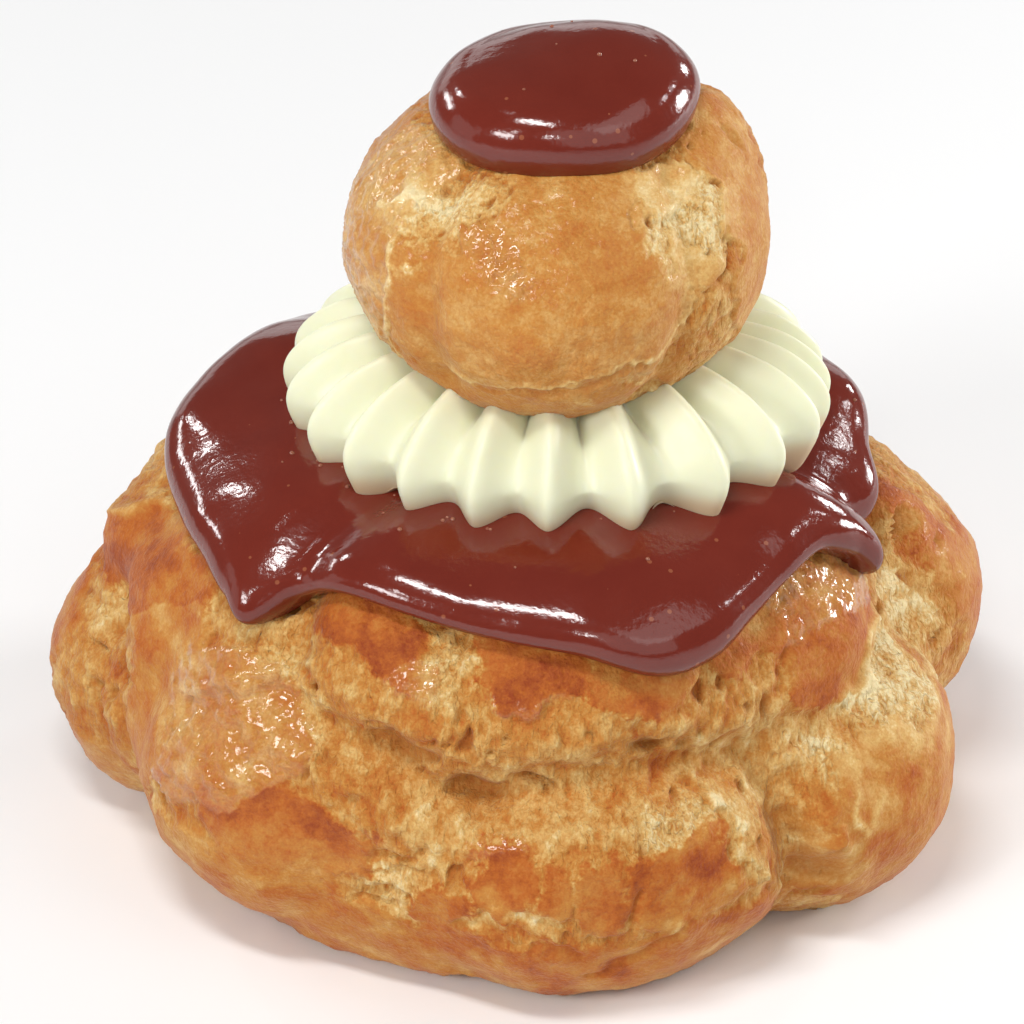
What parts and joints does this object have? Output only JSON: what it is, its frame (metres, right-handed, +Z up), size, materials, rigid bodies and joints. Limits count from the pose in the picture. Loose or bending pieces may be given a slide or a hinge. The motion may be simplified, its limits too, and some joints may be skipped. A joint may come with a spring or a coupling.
{
  "type": "religieuse choux pastry",
  "caption": "Religieuse: a small choux bun on a large one, with a ridged piped cream collar between them and thick glossy chocolate icing dripping over each bun.",
  "frame": {"origin": "on the table, under the middle of the large bun", "axes": "+Z up; the side to look at faces -Y; +X to the right when looking along +Y"},
  "size_m": [0.0826, 0.0725, 0.0759],
  "materials": {
    "choux": "golden-brown baked choux, smooth and slightly shiny on its browned plates and rough and pale where it tore open",
    "chocolate": "glossy set chocolate fondant icing",
    "cream": "soft satin piped buttercream"
  },
  "bodies": {
    "root": {"large_choux": "choux", "large_icing": "chocolate", "cream_collar": "cream", "small_choux": "choux", "small_icing": "chocolate"}
  },
  "joints": []
}
